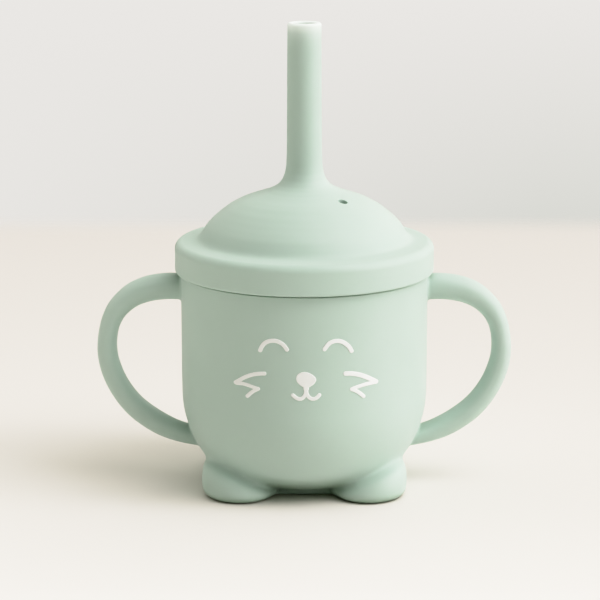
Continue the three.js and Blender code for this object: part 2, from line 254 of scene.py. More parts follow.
def surface_nets(field, periodic):
    """Skins field < 0 on a grid; periodic closes the first direction on itself.

    Returns vertices in grid index units, their cells, and quads that face out of field < 0 when the
    three grid directions make a right-handed set.
    """
    if periodic:
        field = np.concatenate([field, field[:1]], 0)
    cell_counts = tuple(n - 1 for n in field.shape)
    total = np.zeros(cell_counts + (3,), np.float32)
    count = np.zeros(cell_counts, np.int16)
    # each vertex is the mean of the zero crossings on its cell's edges
    for axis in range(3):
        side_a, side_b = [a for a in range(3) if a != axis]
        for offset_a in (0, 1):
            for offset_b in (0, 1):
                low = [slice(0, n) for n in cell_counts]
                low[side_a] = slice(offset_a, cell_counts[side_a] + offset_a)
                low[side_b] = slice(offset_b, cell_counts[side_b] + offset_b)
                high = list(low)
                high[axis] = slice(1, cell_counts[axis] + 1)
                low_field, high_field = field[tuple(low)], field[tuple(high)]
                where = np.nonzero((low_field < 0) != (high_field < 0))
                start, end = low_field[where], high_field[where]
                t = start / (start - end)
                total[where + (np.full(len(t), axis),)] += t
                total[where + (np.full(len(t), side_a),)] += offset_a
                total[where + (np.full(len(t), side_b),)] += offset_b
                count[where] += 1
    occupied = np.nonzero(count)
    cells = np.column_stack(occupied)
    index = np.full(cell_counts, -1, np.int64)
    index[occupied] = np.arange(len(cells))
    at = cells + total[occupied] / count[occupied][:, None]
    # a quad joins the four cells round each grid edge that crosses the surface
    quads = []
    for axis in range(3):
        side_a, side_b = (axis + 1) % 3, (axis + 2) % 3
        low = [slice(None)] * 3
        high = [slice(None)] * 3
        low[axis], high[axis] = slice(0, cell_counts[axis]), slice(1, cell_counts[axis] + 1)
        low_inside, high_inside = field[tuple(low)] < 0, field[tuple(high)] < 0
        edges = np.column_stack(np.nonzero(low_inside != high_inside))
        valid = np.ones(len(edges), bool)
        for side in (side_a, side_b):
            valid &= edges[:, side] < cell_counts[side]
            if side != 0 or not periodic:
                valid &= edges[:, side] >= 1
        edges = edges[valid]
        outward = low_inside[tuple(edges.T)]
        corners = []
        for offset_a, offset_b in ((-1, -1), (0, -1), (0, 0), (-1, 0)):
            cell = edges.copy()
            cell[:, side_a] += offset_a
            cell[:, side_b] += offset_b
            if periodic:
                cell[:, 0] %= cell_counts[0]
            corners.append(index[tuple(cell.T)])
        quad = np.column_stack(corners)
        quad[~outward] = quad[~outward][:, ::-1]
        quads.append(quad)
    return at, cells, np.vstack(quads)


def settle(field, verts, reach, probe=0.08):
    """Moves vertices onto field = 0 and returns them with their outward normals."""
    def gradient(points):
        out = np.empty_like(points)
        for axis in range(3):
            shift = np.zeros(3)
            shift[axis] = probe
            out[:, axis] = (field(*(points + shift).T) - field(*(points - shift).T)) / (2 * probe)
        return out

    for _ in range(3):
        slope = gradient(verts)
        step = field(*verts.T)[:, None] * slope / np.maximum((slope * slope).sum(1), 0.05)[:, None]
        size = np.linalg.norm(step, axis=1)
        verts = verts - step * np.minimum(1, reach / np.maximum(size, 1e-9))[:, None]
    slope = gradient(verts)
    return verts, slope / np.maximum(np.linalg.norm(slope, axis=1), 1e-9)[:, None]


def make_mesh(name, verts, faces, normals=None):
    """A smooth-shaded object from vertices in millimetres."""
    mesh = bpy.data.meshes.new(name)
    metres = (np.asarray(verts) + [0, 0, STAND]) * MM
    mesh.from_pydata(metres.tolist(), [], faces)
    mesh.validate(clean_customdata=False)
    mesh.polygons.foreach_set("use_smooth", np.ones(len(mesh.polygons), bool))
    mesh.update()
    if normals is not None:
        mesh.normals_split_custom_set_from_vertices(np.asarray(normals).tolist())
    obj = bpy.data.objects.new(name, mesh)
    bpy.context.scene.collection.objects.link(obj)
    return obj


def cylinder_skin(name, field, angles, radii, heights, reach=0.4):
    """Skins field < 0 on a grid of angles, radii and heights; radii[0] may be 0, the axis."""
    angle, radius, z = np.meshgrid(angles, radii, heights, indexing="ij")
    samples = field((radius * np.cos(angle)).ravel(), (radius * np.sin(angle)).ravel(), z.ravel())
    at, cells, quads = surface_nets(samples.reshape(angle.shape), True)
    wrapped = np.r_[angles, angles[0] + 2 * math.pi]
    angle = np.interp(at[:, 0], np.arange(len(wrapped)), wrapped)
    radius = np.interp(at[:, 1], np.arange(len(radii)), radii)
    z = np.interp(at[:, 2], np.arange(len(heights)), heights)
    verts = np.column_stack([radius * np.cos(angle), radius * np.sin(angle), z])
    # the vertices round the axis become one at each height
    core = np.zeros(len(verts), bool)
    if radii[0] == 0:
        core = cells[:, 1] == 0
        first = {}
        link = np.arange(len(verts))
        for i in np.nonzero(core)[0]:
            link[i] = first.setdefault(int(cells[i, 2]), i)
        quads = link[quads]
    verts[core, :2] = 0
    verts, normals = settle(field, verts, reach)
    verts[core, :2] = 0
    quads = quads[:, ::-1]       # angle, radius, height is a left-handed set
    repeats = (quads == np.roll(quads, -1, 1)).sum(1)
    faces = quads[repeats == 0].tolist()
    for quad in quads[repeats == 1]:
        face = [int(quad[i]) for i in range(4) if quad[i] != quad[(i + 1) % 4]]
        if len(set(face)) == 3:
            faces.append(face)
    used = np.zeros(len(verts), bool)
    used[[i for face in faces for i in face]] = True
    renumber = np.cumsum(used) - 1
    faces = [[int(renumber[i]) for i in face] for face in faces]
    return make_mesh(name, verts[used], faces, normals[used])


# ------------------------------------------------------------------------- cup

BODY_R = 40.0
SHOULDER_Z = 69.6
NECK_R = 39.2
NECK_INNER_R = 36.9
RIM_Z = 78.3
FLOOR_Z = 4.2                    # floor of the cavity
CORNER_R = {"base": 0.5, "shoulder": 0.35, "rim_outer": 0.9, "rim_inner": 0.8}

# outside of the body: height, radius swapped to (radius, height)
BELLY = [
    (19.3, 1.76), (20.6, 1.9), (22.0, 2.3), (23.4, 3.05), (25.1, 4.0), (26.8, 5.0), (28.4, 6.0),
    (31.25, 8.0), (33.4, 10.0), (34.8, 12.0), (35.8, 14.0), (37.25, 17.0), (38.35, 20.0),
    (39.4, 24.0), (39.9, 28.0), (39.99, 34.0), (BODY_R, 40.0),
]
# inside of the body: radius, height
CAVITY = [
    (0.0, FLOOR_Z), (13.0, 4.5), (21.5, 6.2), (27.0, 9.0), (31.0, 12.6), (34.0, 17.2), (36.0, 23.5),
    (37.0, 32.0), (NECK_INNER_R, SHOULDER_Z),
]
# centre line of a handle: distance from the axis, height, half thickness
HANDLE = [
    (37.6, 64.15, 4.15), (41.6, 64.55, 4.20), (46.0, 64.45, 4.18), (50.62, 63.7, 4.10),
    (55.0, 62.05, 3.92), (58.22, 59.77, 3.65), (61.05, 56.69, 3.42), (62.98, 52.82, 3.20),
    (64.0, 48.7, 3.14), (64.35, 44.4, 3.22), (64.0, 40.4, 3.30), (62.85, 36.15, 3.40),
    (60.95, 31.8, 3.42), (58.3, 27.6, 3.48), (54.9, 23.75, 3.54), (50.5, 20.3, 3.54),
    (45.7, 17.5, 3.42), (41.0, 15.6, 3.15), (36.4, 14.45, 3.00), (32.6, 13.9, 3.00),
]
HANDLE_HALF_DEPTH = 5.0          # along Y
HANDLE_POWER = 2.25              # section between an ellipse (2) and a rounded box
HANDLE_FILLET = 1.0

FOOT_X = 20.25
FOOT_Y = (12.8, 17.7)            # span of each foot's core line, on both sides of Y = 0
FOOT_HALF_W = 12.8
FOOT_TOP_Z = 7.05
FOOT_SLOPE = 0.41                # rise of the foot's top per millimetre outwards
FOOT_TOP_BLEND = 6.0
FOOT_LOW_BLEND = 3.4
FOOT_WIDEST_Z = 5.0
FOOT_BARREL = 0.36               # narrowing of the sides FOOT_WIDEST_Z away from the widest height
FOOT_FILLET = 1.7                # blend of feet and body
FOOT_FILLET_LOW = 2.7            # added to it near the table
FOOT_FILLET_ENDS = 2.2           # added to it high up at the front and back ends

TABLE_R = 46                     # the profile tables reach this radius
PROFILE_GRID = dict(x_span=(0, TABLE_R), y_span=(-4, 84), step=0.16)
HANDLE_GRID = dict(x_span=(26, 72), y_span=(6, 76), step=0.16)
BEYOND_AXIS = -30                # closes the profiles well past the axis


def outer_profile():
    """Outside of the body from the base up over the rim, as (radius, height)."""
    belly = soften(BELLY + [(BODY_R, 46.0), (BODY_R, 52.0)], 0.25, 1.1)
    belly = belly[(belly[:, 1] > 1.7) & (belly[:, 1] < 46)]
    base, shoulder, rim = CORNER_R["base"], CORNER_R["shoulder"], CORNER_R["rim_outer"]
    base_flat_r = 18.4
    return np.vstack([
        [(BEYOND_AXIS, -STAND), (base_flat_r, -STAND)],
        arc(base_flat_r, base - STAND, base, -90, 0, 6),
        [(base_flat_r + base, 1.4), (19.0, 1.62), (19.2, 1.74)],
        belly,
        [(BODY_R, SHOULDER_Z - shoulder)],
        arc(BODY_R - shoulder, SHOULDER_Z - shoulder, shoulder, 0, 90, 5),
        [(NECK_R + 0.2, SHOULDER_Z), (NECK_R, SHOULDER_Z + 0.2)],
        arc(NECK_R - rim, RIM_Z - rim, rim, 0, 90, 8),
        [(BEYOND_AXIS, RIM_Z)],
    ])


def cavity_profile():
    """Hollow of the body, continued above the rim, as (radius, height)."""
    rim = CORNER_R["rim_inner"]
    rim_centre_r = NECK_INNER_R + rim
    above = 95
    return np.vstack([
        [(BEYOND_AXIS, FLOOR_Z)],
        soften([(-8.0, FLOOR_Z)] + CAVITY, 0.5, 1.2),
        [(NECK_INNER_R, RIM_Z - 0.9)],
        arc(rim_centre_r, RIM_Z - rim, rim, 180, 90, 6)[1:],
        [(rim_centre_r, above), (BEYOND_AXIS, above)],
    ])


outer_outline, cavity_outline = outer_profile(), cavity_profile()
handle_line = catmull(HANDLE, 14)
outer_table = Table(**PROFILE_GRID, function=lambda grid: polygon_distance(grid, outer_outline))
cavity_table = Table(**PROFILE_GRID, function=lambda grid: polygon_distance(grid, cavity_outline))
handle_table = Table(**HANDLE_GRID, function=lambda grid: line_distance(grid, handle_line)[0])
thickness_table = Table(**HANDLE_GRID, function=lambda grid: line_distance(grid, handle_line)[1])


def handle_distance(x, y, z):
    half = thickness_table(np.abs(x), z)
    across = np.maximum(handle_table(np.abs(x), z), 1e-6) / half
    deep = np.maximum(np.abs(y), 1e-6) / HANDLE_HALF_DEPTH
    level = (across ** HANDLE_POWER + deep ** HANDLE_POWER) ** (1 / HANDLE_POWER)
    slope = np.hypot((across / level) ** (HANDLE_POWER - 1) / half,
                     (deep / level) ** (HANDLE_POWER - 1) / HANDLE_HALF_DEPTH)
    return (level - 1) / slope


def foot_distance(x, y, z):
    off_x = np.abs(x) - FOOT_X
    off_y = np.abs(y) - np.clip(np.abs(y), *FOOT_Y)
    barrel = FOOT_BARREL * ((z - FOOT_WIDEST_Z) / FOOT_WIDEST_Z) ** 2
    side = np.hypot(off_x, off_y) - FOOT_HALF_W + barrel
    top = (z - (FOOT_TOP_Z + FOOT_SLOPE * off_x)) / math.hypot(1, FOOT_SLOPE)
    return soft_max(soft_max(side, top, FOOT_TOP_BLEND), -STAND - z, FOOT_LOW_BLEND)


def cup_field(x, y, z):
    radius = np.hypot(x, y)
    field = outer_table(radius, z) + np.maximum(radius - TABLE_R, 0)
    field = soft_min(field, handle_distance(x, y, z), HANDLE_FILLET)
    fillet = (FOOT_FILLET + FOOT_FILLET_LOW * ramp(-z, -2.0, 2.0)
              + FOOT_FILLET_ENDS * ramp(np.abs(y), 15, 9) * ramp(z, 2.2, 3.0))
    field = soft_min(field, foot_distance(x, y, z), fillet)
    field = soft_max(field, -STAND - z, 0.5)
    return soft_max(field, -cavity_table(radius, z), 0.6)


def build_cup():
    # finer near the handles, at 0 and 180 degrees
    degrees = spread((-10.5, 10.5, 0.75), (10.5, 169.5, 1.4), (169.5, 190.5, 0.75),
                     (190.5, 349.5, 1.4))[:-1]
    heights = spread((-1.4, 2.6, 0.4), (2.6, 14, 0.7), (14, 24, 0.8), (24, 56, 1.15),
                     (56, 68.2, 0.75), (68.2, 79.4, 0.4))
    radii = spread((0, 33, 1.0), (33, 41.5, 0.45), (41.5, 69.5, 0.8))
    skin = cylinder_skin("cup_skin", cup_field, np.radians(degrees), radii, heights)
    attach(skin, "cup")
    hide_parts("cup_body")
    return skin


# ------------------------------------------------------- lid and drinking straw

# top of the dome and outside of the straw: radius, height
DOME = [
    (37.2, 80.1), (36.2, 80.2), (35.2, 80.34), (34.4, 80.62), (33.6, 81.55), (32.7, 83.05),
    (31.46, 85.0), (29.55, 87.0), (27.26, 89.0), (24.6, 91.0), (20.95, 93.0), (18.3, 94.05),
    (15.4, 95.0), (12.4, 96.05), (9.9, 97.15), (8.3, 98.25), (7.0, 99.9), (6.2, 102.0),
    (5.8, 104.5), (5.68, 108.0), (5.62, 114.0), (5.55, 124.0), (5.5, 134.0),
]
# underside of the dome: radius, height
UNDER = [
    (32.6, 78.6), (30.6, 81.6), (27.6, 85.4), (23.2, 88.9), (19.6, 90.85), (14.6, 92.6),
    (10.4, 93.15), (8.4, 93.2),
]
# the next four: radius, height, corner radius
RING = [
    (39.5, 72.0, 0), (39.5, 70.1, 0.35), (41.9, 70.1, 0.7), (41.93, 79.7, 2.5), (36.9, 80.12, 0),
    (36.4, 80.18, 0),
]
STRAW_END = [(5.5, 134.0, 0), (5.42, 150.2, 0.75), (3.7, 150.2, 0.45), (3.7, 130.0, 0)]
SOCKET = [
    (2.9, 95.8, 0), (3.95, 95.8, 0.15), (3.95, 84.0, 0.4), (5.9, 84.0, 0.5), (5.9, 92.6, 0.9),
    (8.4, 93.2, 0),
]
PLUG = [
    (32.6, 78.6, 0), (34.4, 76.6, 0.8), (34.4, 71.9, 0.6), (36.6, 71.9, 0.6), (36.6, 78.6, 0.4),
    (39.5, 78.6, 0.4), (39.5, 72.0, 0),
]
# lower end of the straw's bore: radius, height
BORE_END = [(3.7, 104.0), (3.35, 99.0), (2.9, 97.2), (2.9, 96.1)]
DOME_END_R = 6.4                 # where the dome's rows pass to the straw's

VENT = (12.15, -11.4)            # centre of the small hole, at the front right
VENT_R = 1.5
VENT_EDGE = 0.16                 # rounding of its upper edge
VENT_LOW_EDGE = 0.2              # and of its lower edge
# the lid is turned from a profile; a block of its rows and turns is cut out round the vent
LID_TURNS = 256
BLOCK_HALF_TURNS = 8
BLOCK_R = (20.5, 13.7)
BLOCK_ROWS = 12

dome = soften(DOME, 0.1, 0.45)
under = soften(UNDER, 0.2, 0.8)


def curve_part(curve, outer_r, inner_r, count):
    """Points evenly along a curve of falling radius between two radii, the first included."""
    lengths = lengths_along(curve)
    start, end = np.interp([-outer_r, -inner_r], -curve[:, 0], lengths)
    t = np.linspace(start, end, count, endpoint=False)
    return np.column_stack([np.interp(t, lengths, curve[:, 0]), np.interp(t, lengths, curve[:, 1])])


def height_on(curve, radius):
    return np.interp(-radius, -curve[:, 0], curve[:, 1])


def height_at(curve, xy):
    return height_on(curve, np.hypot(xy[:, 0], xy[:, 1]))


def lid_profile():
    """Closed section: up the ring, dome and straw, down the bore, and out along the underside."""
    straw = dome[np.searchsorted(-dome[:, 0], -DOME_END_R):]
    profile = np.vstack([
        dense(filleted(RING, 10)[1:-1]),
        curve_part(dome, 36.3, BLOCK_R[0], 40),
        curve_part(dome, *BLOCK_R, BLOCK_ROWS),
        curve_part(dome, BLOCK_R[1], DOME_END_R, 22),
        evenly(straw[straw[:, 1] < 112], 0.5),
        evenly(straw[straw[:, 1] >= 112], 1.5),
        dense(np.vstack([filleted(STRAW_END, 8), BORE_END]), 2.4),
        dense(filleted(SOCKET, 5)),
        curve_part(under, BLOCK_R[1], 8.5, 8)[::-1],
        curve_part(under, *BLOCK_R, BLOCK_ROWS)[::-1],
        curve_part(under, 32.5, BLOCK_R[0], 16)[::-1],
        dense(filleted(PLUG, 5))[1:],
    ])
    gap = np.linalg.norm(np.roll(profile, -1, 0) - profile, axis=1)
    return profile[gap > 1e-4]


def vent_rings(border_top, border_low):
    """Rings of vertices from the block's upper border through the vent towards its lower border."""
    centre = np.array(VENT)
    direction = border_top - centre
    direction = direction / np.linalg.norm(direction, axis=1)[:, None]
    rings = []

    def add(xy, z):
        rings.append(np.column_stack([xy, z]))

    top_edge = centre + direction * (VENT_R + VENT_EDGE)
    for t in (0.25, 0.48, 0.68, 0.85, 1.0):
        xy = border_top * (1 - t) + top_edge * t
        add(xy, height_at(dome, xy))
    z_edge = height_at(dome, top_edge)
    for turn in np.radians((22.5, 45, 67.5, 90)):
        xy = centre + direction * (VENT_R + VENT_EDGE * (1 - math.sin(turn)))
        follow = (height_at(dome, xy) - z_edge) * math.cos(turn)
        add(xy, z_edge - VENT_EDGE * (1 - math.cos(turn)) + follow)
    z_top = rings[-1][:, 2]
    low_edge = centre + direction * (VENT_R + VENT_LOW_EDGE)
    z_low = height_at(under, low_edge)
    for t in (0.3, 0.6, 0.9, 1.0):
        add(centre + direction * VENT_R, z_top + (z_low + VENT_LOW_EDGE - z_top) * t)
    for turn in np.radians((45, 90)):
        xy = centre + direction * (VENT_R + VENT_LOW_EDGE * (1 - math.cos(turn)))
        add(xy, z_low + VENT_LOW_EDGE * (1 - math.sin(turn)))
    for t in (0.3, 0.6):
        xy = low_edge * (1 - t) + border_low * t
        add(xy, height_at(under, xy))
    return rings


def build_lid():
    profile = lid_profile()
    rows = len(profile)
    angles = math.atan2(VENT[1], VENT[0]) + np.arange(LID_TURNS) * 2 * math.pi / LID_TURNS
    verts = np.column_stack([
        (profile[:, 0][:, None] * np.cos(angles)).ravel(),
        (profile[:, 0][:, None] * np.sin(angles)).ravel(),
        np.repeat(profile[:, 1], LID_TURNS),
    ])

    def vertex(row, turn):
        return (row % rows) * LID_TURNS + turn % LID_TURNS

    def row_at(radius, curve):
        return int(np.argmin(np.hypot(profile[:, 0] - radius, profile[:, 1] - height_on(curve, radius))))

    def border(wide, narrow):
        """Vertices once round the cut-out block, between its wide and narrow rows."""
        step = 1 if narrow > wide else -1
        half = BLOCK_HALF_TURNS
        between = range(wide, narrow, step)
        ids = [vertex(wide, j) for j in range(-half, half)]
        ids += [vertex(i, half) for i in between]
        ids += [vertex(narrow, j) for j in range(half, -half, -1)]
        ids += [vertex(i + step, -half) for i in reversed(between)]
        return ids

    top_wide, top_narrow = [row_at(radius, dome) for radius in BLOCK_R]
    low_wide, low_narrow = [row_at(radius, under) for radius in BLOCK_R]
    faces = []
    for i in range(rows):
        in_rows = top_wide <= i < top_narrow or low_narrow <= i < low_wide
        for j in range(LID_TURNS):
            if in_rows and (j + BLOCK_HALF_TURNS) % LID_TURNS < 2 * BLOCK_HALF_TURNS:
                continue
            faces.append((vertex(i, j), vertex(i, j + 1), vertex(i + 1, j + 1), vertex(i + 1, j)))

    top_border, low_border = border(top_wide, top_narrow), border(low_wide, low_narrow)
    rings = vent_rings(verts[top_border][:, :2], verts[low_border][:, :2])
    count = len(top_border)
    loops = [top_border]
    for k in range(len(rings)):
        first = len(verts) + k * count
        loops.append(range(first, first + count))
    loops.append(low_border)
    for above, below in zip(loops[:-1], loops[1:]):
        for k in range(count):
            after = (k + 1) % count
            faces.append((above[k], above[after], below[after], below[k]))

    verts = np.vstack([verts] + rings)
    faces = np.array(faces)
    used = np.zeros(len(verts), bool)
    used[faces.ravel()] = True
    renumber = np.cumsum(used) - 1
    skin = make_mesh("lid_straw_skin", verts[used], renumber[faces].tolist())
    skin.data.flip_normals()
    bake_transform(skin)
    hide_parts("lid", "upper_straw")
    return skin


# -------------------------------------------------------------------- dip tube

# section of the tube's wall with its collar: radius, height, corner radius
TUBE = [
    (2.6, 8.2, 0), (3.8, 8.2, 0.3), (3.8, 81.8, 0.3), (5.2, 81.8, 0.45), (5.2, 83.6, 0.45),
    (3.8, 83.6, 0.2), (3.8, 95.5, 0.5), (2.6, 95.5, 0.3), (2.6, 8.2, 0),
]
NOTCH_HALF_W = 2.0               # half width of the notch across the lower end, at NOTCH_LOW_Z
NOTCH_LOW_Z = 6.2
NOTCH_TOP_Z = 11.4
NOTCH_TAPER = 0.215              # loss of half width per millimetre of height
NOTCH_SIDE_SCALE = 0.978         # makes the slanting sides a true distance

tube_outline = filleted(TUBE, 4)
tube_table = Table((1.6, 6.4), (6.5, 97), 0.1, lambda grid: polygon_distance(grid, tube_outline))


def tube_field(x, y, z):
    half = NOTCH_HALF_W - (z - NOTCH_LOW_Z) * NOTCH_TAPER
    notch = np.maximum((np.abs(x) - half) * NOTCH_SIDE_SCALE, z - NOTCH_TOP_Z)
    return soft_max(tube_table(np.hypot(x, y), z), -notch, 0.35)


def build_tube():
    heights = spread((7.6, 12.4, 0.25), (12.4, 80.5, 2.0), (80.5, 84.6, 0.25), (84.6, 94, 1.6),
                     (94, 96.2, 0.22))
    skin = cylinder_skin("dip_tube_skin", tube_field, np.radians(np.arange(0, 360, 3.0)),
                         spread((2.0, 5.6, 0.18)), heights, reach=0.2)
    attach(skin, "straw_low")
    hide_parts("lower_straw")
    return skin


# --------------------------------------------------------------- printed marks

PRINT_SKIN = 0.22                # how far the ink stands off the wall
PRINT_SINK = 0.1                 # and how far it reaches into it
PRINT_STEP = 0.14
PRINT_PAD = 1.1                  # room round the marks
PRINT_LAYERS = np.array([-0.16, -0.1, -0.04, 0.02, 0.07, 0.12, 0.17, 0.22, 0.27, 0.33])

# the marks as seen from the front: x, height
EYE_LEFT = [
    (-13.81, 52.32), (-13.21, 53.67), (-12.23, 54.84), (-10.98, 55.48), (-9.65, 55.71),
    (-8.33, 55.54), (-7.09, 54.90), (-6.15, 54.01), (-5.50, 53.04),
]
EYE_RIGHT = [
    (6.20, 53.13), (7.06, 54.29), (7.99, 55.13), (9.23, 55.54), (10.48, 55.54), (11.73, 55.17),
    (12.99, 54.31), (13.93, 53.27), (14.61, 52.00),
]
WHISKERS_LEFT = [
    [(-12.50, 44.95), (-14.15, 44.75), (-15.73, 44.40), (-17.31, 43.81), (-18.90, 42.95),
     (-20.50, 41.84), (-21.59, 41.02)],
    [(-21.27, 40.81), (-19.23, 40.93), (-17.64, 40.66), (-16.06, 40.24), (-14.49, 39.84)],
    [(-14.49, 39.84), (-15.91, 38.96), (-17.02, 38.02), (-17.90, 37.09)],
]
WHISKERS_RIGHT = [
    [(12.79, 44.93), (14.44, 44.77), (16.01, 44.44), (17.60, 43.90), (19.18, 43.12),
     (20.78, 42.19), (22.42, 41.10)],
    [(22.42, 41.04), (20.79, 40.89), (19.04, 40.75), (17.30, 40.41), (15.72, 40.03),
     (14.74, 39.67)],
    [(14.74, 39.67), (15.88, 39.12), (17.15, 38.24), (18.50, 36.93)],
]
NOSE = [
    (-2.66, 43.84), (-2.35, 44.89), (-1.49, 45.62), (-0.25, 46.00), (1.00, 45.82), (2.24, 45.21),
    (3.15, 44.47), (3.65, 43.58), (3.41, 42.62), (2.71, 41.82), (1.62, 41.11), (0.50, 40.67),
    (-0.59, 41.09), (-1.71, 41.95), (-2.43, 42.88),
]
STEM = [(0.50, 40.57), (0.50, 39.35)]
MOUTH_LEFT = [
    (-3.65, 38.47), (-2.90, 37.79), (-1.97, 37.32), (-1.15, 37.31), (-0.41, 37.77), (0.14, 38.54),
    (0.47, 39.67),
]
MOUTH_RIGHT = [
    (0.50, 39.67), (0.87, 38.54), (1.47, 37.73), (2.40, 37.27), (3.34, 37.38), (4.12, 37.92),
    (4.62, 38.50),
]
EYE_W, STEM_W, MOUTH_W = 1.40, 1.05, 1.24
STEM_HEAD_R = 0.92
WHISKER_LEFT_W = (1.32, 1.24, 1.24)
WHISKER_RIGHT_W = (1.50, 1.24, 1.24)


def stroke(points, width):
    line = evenly(catmull(points, 12) if len(points) > 2 else points, 0.12)
    return points, lambda grid: line_distance(grid, line)[0] - width / 2


def dot(centre, radius):
    return [centre], lambda grid: np.hypot(grid[:, 0] - centre[0], grid[:, 1] - centre[1]) - radius


def filled(points):
    outline = evenly(np.vstack([catmull(points, 14, loop=True), points[0]]), 0.1)[:-1]
    return points, lambda grid: polygon_distance(grid, outline)


# skin name, node it replaces, marks as (points, distance function)
PRINTS = [
    ("eye_left_ink", "print_eye_left", [stroke(EYE_LEFT, EYE_W)]),
    ("eye_right_ink", "print_eye_right", [stroke(EYE_RIGHT, EYE_W)]),
    ("nose_mouth_ink", "print_nose_mouth", [
        filled(NOSE), dot(STEM[0], STEM_HEAD_R), stroke(STEM, STEM_W),
        stroke(MOUTH_LEFT, MOUTH_W), stroke(MOUTH_RIGHT, MOUTH_W),
    ]),
    ("whiskers_left_ink", "print_whiskers_left",
     [stroke(*pair) for pair in zip(WHISKERS_LEFT, WHISKER_LEFT_W)]),
    ("whiskers_right_ink", "print_whiskers_right",
     [stroke(*pair) for pair in zip(WHISKERS_RIGHT, WHISKER_RIGHT_W)]),
]


def build_print(name, node, marks):
    """Wraps marks on the front of the wall as a thin layer with soft edges."""
    every = np.array([point for points, _ in marks for point in points], float)
    x_low, z_low = every.min(0) - PRINT_PAD
    x_high, z_high = every.max(0) + PRINT_PAD

    def flat(grid):
        x = BODY_R * np.sin(grid[:, 0] / BODY_R)
        plane = np.column_stack([x, grid[:, 1]])
        out = marks[0][1](plane)
        for _, distance in marks[1:]:
            out = soft_min(out, distance(plane), 0.2)
        return out

    # the first direction runs round the wall, x being seen straight from the front
    around_span = [BODY_R * math.asin(x / BODY_R) for x in (x_low, x_high)]
    table = Table(around_span, (z_low, z_high), PRINT_STEP, flat)

    def field(around, z, depth):
        middle = (PRINT_SKIN - PRINT_SINK) / 2
        layer = np.abs(depth - middle) - (PRINT_SKIN + PRINT_SINK) / 2
        return soft_max(table(around, z), layer, 0.3)

    grid = np.meshgrid(table.xs, table.ys, PRINT_LAYERS, indexing="ij")
    samples = field(*[part.ravel() for part in grid]).reshape(grid[0].shape)
    at, _, quads = surface_nets(samples, False)
    verts = np.column_stack([
        table.xs[0] + at[:, 0] * PRINT_STEP,
        table.ys[0] + at[:, 1] * PRINT_STEP,
        np.interp(at[:, 2], np.arange(len(PRINT_LAYERS)), PRINT_LAYERS),
    ])
    verts, normals = settle(field, verts, reach=0.06, probe=0.03)
    sine, cosine = np.sin(verts[:, 0] / BODY_R), np.cos(verts[:, 0] / BODY_R)
    radius = BODY_R + verts[:, 2]
    wrapped = np.column_stack([radius * sine, -radius * cosine, verts[:, 1]])
    wrapped_normals = np.column_stack([
        normals[:, 0] * cosine + normals[:, 2] * sine,
        normals[:, 0] * sine - normals[:, 2] * cosine,
        normals[:, 1],
    ])
    skin = make_mesh(name, wrapped, quads.tolist(), wrapped_normals)
    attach(skin, "cup")
    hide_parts(node)
    return skin


# ---------------------------------------------------------------- shader graphs


class Graph:
    """Builds a node tree. A value given to an input may be a constant or another node's output."""

    def __init__(self, tree):
        self.tree = tree
        tree.nodes.clear()

    def add(self, kind, inputs=None, **settings):
        node = self.tree.nodes.new(kind)
        for key, value in settings.items():
            setattr(node, key, value)
        for key, value in (inputs or {}).items():
            if isinstance(value, bpy.types.NodeSocket):
                self.tree.links.new(value, node.inputs[key])
            else:
                node.inputs[key].default_value = value
        return node

    def coordinates(self, kind):
        return self.add("ShaderNodeTexCoord").outputs[kind]

    def axes(self, vector):
        return self.add("ShaderNodeSeparateXYZ", {0: vector}).outputs

    def math(self, operation, *values, clamp=False):
        inputs = dict(enumerate(values))
        node = self.add("ShaderNodeMath", inputs, operation=operation, use_clamp=clamp)
        return node.outputs[0]

    def product(self, first, *others):
        for other in others:
            first = self.math("MULTIPLY", first, other)
        return first

    def noise(self, vector, scale, detail):
        inputs = {"Scale": scale, "Detail": detail, "Vector": vector}
        return self.add("ShaderNodeTexNoise", inputs).outputs["Fac"]

    def remap(self, value, within, to=(0, 1), curve="LINEAR"):
        """Maps value from one range to another."""
        return self.add("ShaderNodeMapRange", {
            "From Min": within[0], "From Max": within[1],
            "To Min": to[0], "To Max": to[1], "Value": value,
        }, interpolation_type=curve).outputs["Result"]

    def mix(self, factor, first, second):
        inputs = {0: factor}
        for key, color in ((6, first), (7, second)):
            inputs[key] = color + (1,) if isinstance(color, tuple) else color
        return self.add("ShaderNodeMix", inputs, data_type="RGBA").outputs[2]

    def occlusion_shade(self, distance, within):
        """Ambient occlusion as a mask for painted shade: 0 in tight corners, 1 in the open."""
        node = self.add("ShaderNodeAmbientOcclusion", {"Distance": distance}, samples=6)
        return self.remap(node.outputs["AO"], within=within)

    def bump(self, height, strength, distance, normal=None):
        inputs = {"Strength": strength, "Distance": distance, "Height": height}
        if normal is not None:
            inputs["Normal"] = normal
        return self.add("ShaderNodeBump", inputs).outputs["Normal"]

    def principled(self, inputs):
        return self.add("ShaderNodeBsdfPrincipled", inputs).outputs["BSDF"]

    def surface(self, shader, kind="ShaderNodeOutputMaterial"):
        self.add(kind, {"Surface": shader})


def new_material(name):
    material = bpy.data.materials.new(name)
    material.use_nodes = True
    return material, Graph(material.node_tree)


def scaled(color, factor):
    return tuple(factor * channel for channel in color)


# ------------------------------------------------------------------- materials
# lengths in the materials are metres, in object coordinates

MINT = (0.456, 0.594, 0.534)
MINT_MOTTLE = (MINT[0] * 1.03, MINT[1] * 1.01, MINT[2] * 1.03)
PAINTED_SHADE = (0.205, 0.325, 0.215)     # painted shade, mixed in at corners, near the table and behind the handle seams
DUST = (0.76, 0.80, 0.77)
# painted highlight colour for the ridge of the handle seam
SEAM_HIGHLIGHT = (0.62, 0.72, 0.65)
# painted highlight colour for convex edges
EDGE_HIGHLIGHT = (0.66, 0.76, 0.70)
# LIP and LIP_GLOW paint a glow into the lip of the straw
LIP = (0.72, 0.80, 0.74)
LIP_GLOW = (1.0, 0.97, 0.95, 1)
INK_LOW, INK_HIGH = (0.86, 0.885, 0.885), (0.90, 0.925, 0.925)


